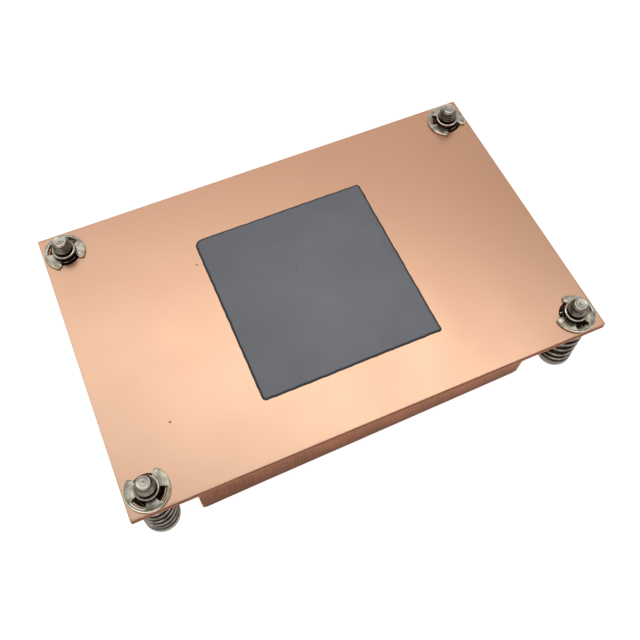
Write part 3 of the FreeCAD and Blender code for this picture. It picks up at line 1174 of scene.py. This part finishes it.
        # radius, depth and painted shade of the lip and the cup
        cup = np.array(
            [
                (edge - 0.02, 0.015, 0.0),
                (edge - 0.07, 0.0, 0.0),
                (1.17, 0.0, 0.0),
                (1.08, 0.03, 0.22),
                (0.9, 0.04, 0.2),
                (0.5, 0.045, 0.16),
                (0.16, 0.045, 0.2),
                (0.11, 0.06, 0.5),
                (0.0, 0.07, 0.5),
            ]
        )
        # painted shade of the bevel's rows, then of the lip and the cup
        stain = np.concatenate([[0.8, 0.85, 0.85, 0.7, 0.1], cup[:, 2]])
        rows = np.concatenate([bevel, self.turn(angle, cup[:, :1], self.tip - cup[:, 1:2])])
        return rows, spread(stain, len(angle))

    def recess_rows(self, angle: np.ndarray) -> np.ndarray:
        """The head's end: the radius goes from the rim to the outline of a cross, whose four
        arms are 1.1 mm wide, down its tapered wall and in to a point.

        Args:
            angle: The angle of each column, in radians.

        Returns:
            The grid of points.
        """
        arm, slot = 2.3, 0.55
        c, s = np.abs(np.cos(angle)) + 1e-9, np.abs(np.sin(angle)) + 1e-9
        cross = np.maximum(np.minimum(arm / c, slot / s), np.minimum(slot / c, arm / s))
        rim = self.head_radius - self.head_bevel
        # shares of the cross and of the rim, and depth
        table = np.array(
            [
                (0.0, 1.0, 0.0),
                (0.5, 0.5, 0.0),
                (1.03, 0.0, 0.0),
                (1.0, 0.0, 0.04),
                (0.72, 0.0, 0.9),
                (0.4, 0.0, 1.15),
                (0.0, 0.0, 1.3),
            ]
        )
        radius = table[:, :1] * cross + table[:, 1:2] * rim
        return self.turn(angle, radius, np.broadcast_to(self.head_end + table[:, 2:], radius.shape))


@dataclass
class RetainingClip:
    """An E-clip stamped from strip: three lobes on the groove and a mouth that flares out."""

    corner: Corner
    thickness: float = 0.7
    outer: float = 4.65
    seat: float = 1.85
    recess: float = 3.68
    rim: float = 0.32
    stations: int = 120

    def build(self) -> bpy.types.Object:
        """Makes the clip and lets it stand for the solid. The lower half is darkened with painted
        shade, and the flat top is darkened too, so that the rolled edge between them shows as a
        painted highlight.

        Returns:
            The object.
        """
        shell = Shell("e_clip_" + self.corner.label)
        rows = self.rows()
        level = (rows[..., 2] - FACE) / self.thickness
        # painted shade on the lower half, and a darker flat top that leaves a painted highlight on
        # the rolled edge
        painted_shade_tone = np.where(level > 0.995, 0.35, 0.0) + np.clip(0.5 - level, 0, 0.5)
        shell.add_grid(rows, loop=True, tone=painted_shade_tone)
        shell.points = [self.turned(points) for points in shell.points]
        piece = shell.build([STAMPED.material()], sharp=50.0)
        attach(piece, "clip_" + self.corner.label)
        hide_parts("retaining_clip_" + self.corner.label)
        return piece

    def turned(self, points: np.ndarray) -> np.ndarray:
        """Turns points about the screw's axis by the clip's own angle and sets them in place.

        Args:
            points: Points round an axis at zero.

        Returns:
            The points in place.
        """
        c, s = math.cos(self.corner.turn), math.sin(self.corner.turn)
        turn = np.array([[c, s, 0.0], [-s, c, 0.0], [0.0, 0.0, 1.0]])
        return points @ turn + self.corner.axis

    def edges(self) -> tuple[np.ndarray, np.ndarray]:
        """The strip's inner and outer edge from one prong to the other. The inner edge follows
        the seat, steps out to the recess, and back in to the rear lobe.

        Returns:
            The flat points of both edges.
        """
        seat, recess, outer = self.seat, self.recess, self.outer
        # share along half the clip, then angle from the mouth and radius of the inner edge, and
        # the same of the outer edge
        half = np.array(
            [
                (0.00, 63.0, seat, 38.6, outer - 0.5),
                (0.02, 63.4, seat, 38.9, outer - 0.24),
                (0.05, 64.5, seat, 41.0, outer - 0.06),
                (0.09, 66.0, seat, 45.0, outer),
                (0.30, 100.5, seat, 97.0, outer),
                (0.36, 104.0, recess - 0.3, 104.5, outer),
                (0.39, 108.0, recess, 108.5, outer),
                (0.66, 152.5, recess, 152.5, outer),
                (0.69, 156.0, recess - 0.3, 156.0, outer),
                (0.76, 159.0, seat + 0.12, 161.0, outer),
                (0.79, 161.0, seat, 164.0, outer),
                (1.00, 180.0, seat, 180.0, outer),
            ]
        )
        full = np.concatenate([half, half[-2::-1] * [-1, -1, 1, -1, 1] + [2, 360, 0, 360, 0]])
        share = np.unique(np.concatenate([np.linspace(0, 2, self.stations), full[:, 0]]))
        columns = [np.interp(share, full[:, 0], full[:, i]) for i in range(1, 5)]
        return self.polar(columns[1], columns[0]), self.polar(columns[3], columns[2])

    def rows(self) -> np.ndarray:
        """The stamped form as one grid. Each cut across the strip, from its inner edge to its
        outer edge, is a loop with its four edges rounded, rolled wide above and tight below. The
        first and last cuts shrink to a point, which closes the ends.

        Returns:
            The grid of points.
        """
        inner, outer = self.edges()
        rim, low = self.rim, self.rim * 0.5
        turn = np.linspace(0, math.pi / 2, 4)
        # inset from an edge and height above the plate, from the top down to the bottom
        inset = np.concatenate([rim * (1 - np.sin(turn)), low * (1 - np.cos(turn))])
        level = np.concatenate(
            [self.thickness - rim * (1 - np.cos(turn)), low * (1 - np.sin(turn))]
        )
        across = outer - inner
        way = across / np.linalg.norm(across, axis=1, keepdims=True)
        halves = [
            with_height(points[:, None] + sign * way[:, None] * inset[None, :, None], FACE + level)
            for points, sign in ((outer, -1.0), (inner, 1.0))
        ]
        loop = np.concatenate([halves[0], halves[1][:, ::-1]], axis=1)
        start, end = (self.cap(loop, way[i], i, turn[1:]) for i in (0, -1))
        return np.concatenate([start[::-1], loop, end])

    def cap(self, loop: np.ndarray, way: np.ndarray, end: int, turn: np.ndarray) -> np.ndarray:
        """The rounded end of the strip: the last cut moves on along the strip by the sine of
        each angle times the rim, and in by one minus its cosine, and then closes to a point.

        Args:
            loop: All cuts.
            way: The direction across the strip at this end.
            end: Zero for the first cut and minus one for the last.
            turn: The angles.

        Returns:
            One cut for each angle and one that is a point.
        """
        cut, middle = loop[end], loop[end].mean(0)
        on = np.array([way[1], -way[0], 0.0])
        if np.dot(middle - loop[-2 if end else 1].mean(0), on) < 0:
            on = -on
        reach = np.linalg.norm(cut - middle, axis=1, keepdims=True)
        rings = []
        for angle in turn:
            inset = self.rim * (1 - math.cos(angle))
            shrink = inset / np.maximum(reach, inset * 2 + 1e-6)
            rings.append(cut + on * self.rim * math.sin(angle) + (middle - cut) * shrink)
        rings.append(np.broadcast_to(rings[-1].mean(0), cut.shape))
        return np.array(rings)

    @staticmethod
    def polar(radius: np.ndarray, degrees: np.ndarray) -> np.ndarray:
        """Points at a radius and an angle from the mouth, which faces +Y before the turn."""
        angle = np.radians(degrees)
        return np.stack([radius * np.sin(angle), radius * np.cos(angle)], -1)


@dataclass
class CoilSpring:
    """A compression spring of round wire with closed and ground ends."""

    corner: Corner
    low: float = 8.0
    high: float = UNDERSIDE
    radius: float = 3.5
    wire: float = 0.45
    closed_gap: float = 0.06
    active_turns: float = 4.5
    travel: float = 6.0
    columns: int = 16
    steps_per_turn: int = 44
    # half the steps over which a change of pitch is smoothed
    easing: int = 11

    def build(self) -> bpy.types.Object:
        """Makes the spring.

        Returns:
            The object.
        """
        shell = Shell("coil_" + self.corner.label)
        rows = self.rows()
        around = full_turn(self.columns)
        # painted shade: darkest on the side of the wire that faces the axis, lightest on the outer
        # side
        painted_shade_tone = np.clip(0.7 - 0.55 * np.cos(around) - 0.15 * np.sin(around), 0, 1)
        shell.add_grid(rows + self.corner.axis, loop=True, tone=np.repeat(painted_shade_tone[None], len(rows), 0))
        piece = shell.build([DRAWN.material()], sharp=40.0)
        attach(piece, "heat_sink_body")
        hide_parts("spring_" + self.corner.label)
        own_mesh(piece)
        return piece

    def rows(self) -> np.ndarray:
        """A circle of the wire's size carried along the coil. The coil turns evenly while it
        climbs: slowly in the first and last turn, which lie closed, and evenly between them.
        Heights beyond the two ends are cut off flat, as grinding does.

        Returns:
            The grid of points, round an axis at zero.
        """
        turns = self.active_turns + 2
        step = np.linspace(0, turns, int(turns * self.steps_per_turn) + 1)
        pitch = 2 * self.wire + self.closed_gap
        climb_range = self.high - self.low - self.wire - 2 * pitch
        climb = (
            pitch * np.clip(step, 0, 1)
            + climb_range / self.active_turns * np.clip(step - 1, 0, self.active_turns)
            + pitch * np.clip(step - 1 - self.active_turns, 0, 1)
        )
        n = self.easing
        before = climb[0] + (climb[:n] - climb[n])
        after = climb[-1] + (climb[-n:] - climb[-n - 1])
        smooth = np.ones(2 * n + 1) / (2 * n + 1)
        climb = np.convolve(np.concatenate([before, climb, after]), smooth, "valid")
        angle = 2 * math.pi * step
        out = np.stack([np.cos(angle), np.sin(angle), np.zeros_like(angle)], -1)
        middle = out * self.radius
        middle[:, 2] = self.low + self.wire / 2 + climb
        along = np.gradient(middle, axis=0)
        along = along / np.linalg.norm(along, axis=1, keepdims=True)
        up = np.cross(along, out)
        up = up * np.sign(up[:, 2:3])
        around = full_turn(self.columns)[None, :, None]
        ring = out[:, None] * np.cos(around) + up[:, None] * np.sin(around)
        tube = middle[:, None] + self.wire * ring
        ends = [np.broadcast_to(tube[i].mean(0), tube[i].shape)[None] for i in (0, -1)]
        tube = np.concatenate([ends[0], tube, ends[1]])
        tube[..., 2] = np.clip(tube[..., 2], self.low, self.high)
        return tube


@dataclass(frozen=True)
class SoftBox:
    """A rectangular lamp behind white cloth that faces the plate.

    The lean is its place over the plate, in X and Y, for each metre of height. The size is in
    metres, the turn of its long side from X is in degrees, and a glow of one is as bright as
    white paper.
    """

    name: str
    lean: tuple[float, float]
    height: float
    size: tuple[float, float]
    turn: float
    glow: float

    def hang(self) -> bpy.types.Object:
        """Makes the lamp and turns its back away from the plate.

        Returns:
            The lamp.
        """
        data = bpy.data.lights.new(self.name, "AREA")
        data.shape = "RECTANGLE"
        data.size, data.size_y = self.size
        data.energy = self.glow * math.pi * self.size[0] * self.size[1]
        lamp = put_in_scene(self.name, data)
        place = Vector((self.lean[0] * self.height, self.lean[1] * self.height, self.height))
        back = place.normalized()
        angle = math.radians(self.turn)
        long_side = Vector((math.cos(angle), math.sin(angle), 0.0))
        long_side = (long_side - back * long_side.dot(back)).normalized()
        aim(lamp, place + Vector((0.0, 0.0, FACE * MM)), long_side, back.cross(long_side), back)
        return lamp


@dataclass
class Studio:
    """A pale table that sweeps up into a wall, ten soft lamps, and the camera where the
    photograph was taken. The contact face mirrors the eight lamps overhead, which set its
    brightness from place to place. The two windows stand behind the camera, and light the
    edges of the fasteners and the front fin."""

    camera_place: tuple[float, float, float] = (-37.5, -84.3, 179.0)
    camera_right: tuple[float, float, float] = (0.9149, -0.4035, 0.0094)
    camera_up: tuple[float, float, float] = (0.3521, 0.8093, 0.4702)
    lens: float = 45.29
    table_radius: float = 2400.0
    cove_radius: float = 600.0
    wall_height: float = 800.0
    # how far the table lies below the fins, so that the two never flicker
    clearance: float = 0.02
    paint: str = "B4B4B4"
    glow: float = 0.83
    brightest: tuple[float, float, float] = (0.45, 0.75, 0.48)
    # the room's least and greatest strength, and the part along brightest where it is least
    dim: float = 0.12
    bright: float = 0.54
    dim_from: float = -0.6
    lamps: tuple[SoftBox, ...] = (
        SoftBox("strip_left", (-0.297, 0.713), 1.2, (0.66, 0.3), -31.0, 1.21),
        SoftBox("strip_middle", (0.15, 0.446), 1.2, (0.6, 0.3), -31.0, 1.54),
        SoftBox("strip_right", (0.46, 0.224), 1.2, (0.36, 0.3), -31.0, 1.78),
        SoftBox("key", (0.225, 0.378), 1.2, (0.5, 0.2), -31.0, 1.25),
        SoftBox("near_left", (-0.22, 0.411), 1.2, (0.8, 0.34), -31.0, 0.72),
        SoftBox("near_right", (0.209, 0.155), 1.2, (0.5, 0.34), -31.0, 0.43),
        SoftBox("far_left", (0.049, 0.961), 1.2, (0.6, 0.5), -31.0, 0.33),
        SoftBox("far_right", (0.485, 0.835), 1.2, (0.6, 0.5), -31.0, 0.42),
        SoftBox("front_window", (-1.5, -1.5), 0.8, (3.2, 1.2), -45.0, 1.9),
        SoftBox("side_window", (1.35, -2.1), 0.7, (1.6, 0.6), 33.0, 2.2),
    )

    def build(self) -> None:
        """Makes the camera, the table, the surroundings and the lamps."""
        self.add_camera()
        self.add_sweep()
        self.light_room()
        for lamp in self.lamps:
            lamp.hang()
        bpy.context.scene.view_settings.view_transform = "Standard"

    def add_camera(self) -> None:
        """A camera turned by the directions measured from the plate's corners."""
        data = bpy.data.cameras.new("camera")
        data.lens = self.lens
        data.sensor_width = 36.0
        data.clip_start = 0.01
        camera = put_in_scene("camera", data)
        right, up = Vector(self.camera_right).normalized(), Vector(self.camera_up)
        back = right.cross(up).normalized()
        aim(camera, Vector(self.camera_place) * MM, right, back.cross(right), back)
        bpy.context.scene.camera = camera

    def add_sweep(self) -> None:
        """A round table top that curves up into a wall. Its profile is a level line from the
        middle, a quarter circle and an upright line, turned about Z."""
        quarter = np.radians(np.linspace(0, 90, 13))[1:]
        level = np.linspace(0, self.table_radius, 9)
        table, cove = self.table_radius, self.cove_radius
        reach = np.concatenate([level, table + cove * np.sin(quarter), [table + cove]])
        height = np.concatenate(
            [level * 0, cove * (1 - np.cos(quarter)), [cove + self.wall_height]]
        )
        angle = full_turn(72)
        flat = reach[:, None, None] * np.stack([np.cos(angle), np.sin(angle)], -1)
        shell = Shell("sweep")
        shell.add_grid(with_height(flat, height[:, None] - self.clearance), loop=True)
        sweep = shell.build([self.card()])

    def card(self) -> bpy.types.Material:
        """Matt white card. It takes the object's shadow, and glows a little for the camera, for
        reflections and through glass, so that it shows white there, but not onto the object.

        Returns:
            The material.
        """
        made, add = new_material("white_card")
        paint = add("BsdfDiffuse", {"Color": linear(self.paint)})
        path = add("LightPath")
        seen: Link = (path, "Is Camera Ray")
        for ray in ("Is Glossy Ray", "Is Transmission Ray"):
            seen = add("Math", {"operation": "ADD", "use_clamp": True}, {0: seen, 1: (path, ray)})
        strength = add("Math", {"operation": "MULTIPLY", 1: self.glow}, {0: seen})
        glow = add("Emission", {"Color": linear("FFFFFF")}, {"Strength": strength})
        both = add("AddShader", links={0: paint, 1: glow})
        add("OutputMaterial", links={"Surface": both})
        return made

    def light_room(self) -> None:
        """A room that is brightest overhead towards the back and dimmer behind the camera. Its
        strength runs from dim to bright with the part of the direction along brightest."""
        world = bpy.data.worlds.new("room")
        world.use_nodes = True
        world.node_tree.nodes.clear()
        add = partial(add_node, world.node_tree)
        way = Vector(self.brightest).normalized()
        along = add(
            "VectorMath", {"operation": "DOT_PRODUCT", 1: way}, {0: (add("TexCoord"), "Generated")}
        )
        strength = add(
            "MapRange",
            {"From Min": self.dim_from, "To Min": self.dim, "To Max": self.bright},
            {"Value": (along, "Value")},
        )
        sky = add("Background", {"Color": linear("FFFFFF")}, {"Strength": strength})
        add("OutputWorld", links={"Surface": sky})
        bpy.context.scene.world = world


def main() -> None:
    """Builds each piece over its solid, then the studio."""
    logging.basicConfig(level=logging.INFO, format="%(name)s: %(message)s")
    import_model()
    FinnedCopperBody().build()
    ThermalPad().build()
    for corner in Corner:
        CaptiveScrew(corner).build()
        RetainingClip(corner).build()
        CoilSpring(corner).build()
    Studio().build()


if __name__ == "__main__":
    main()
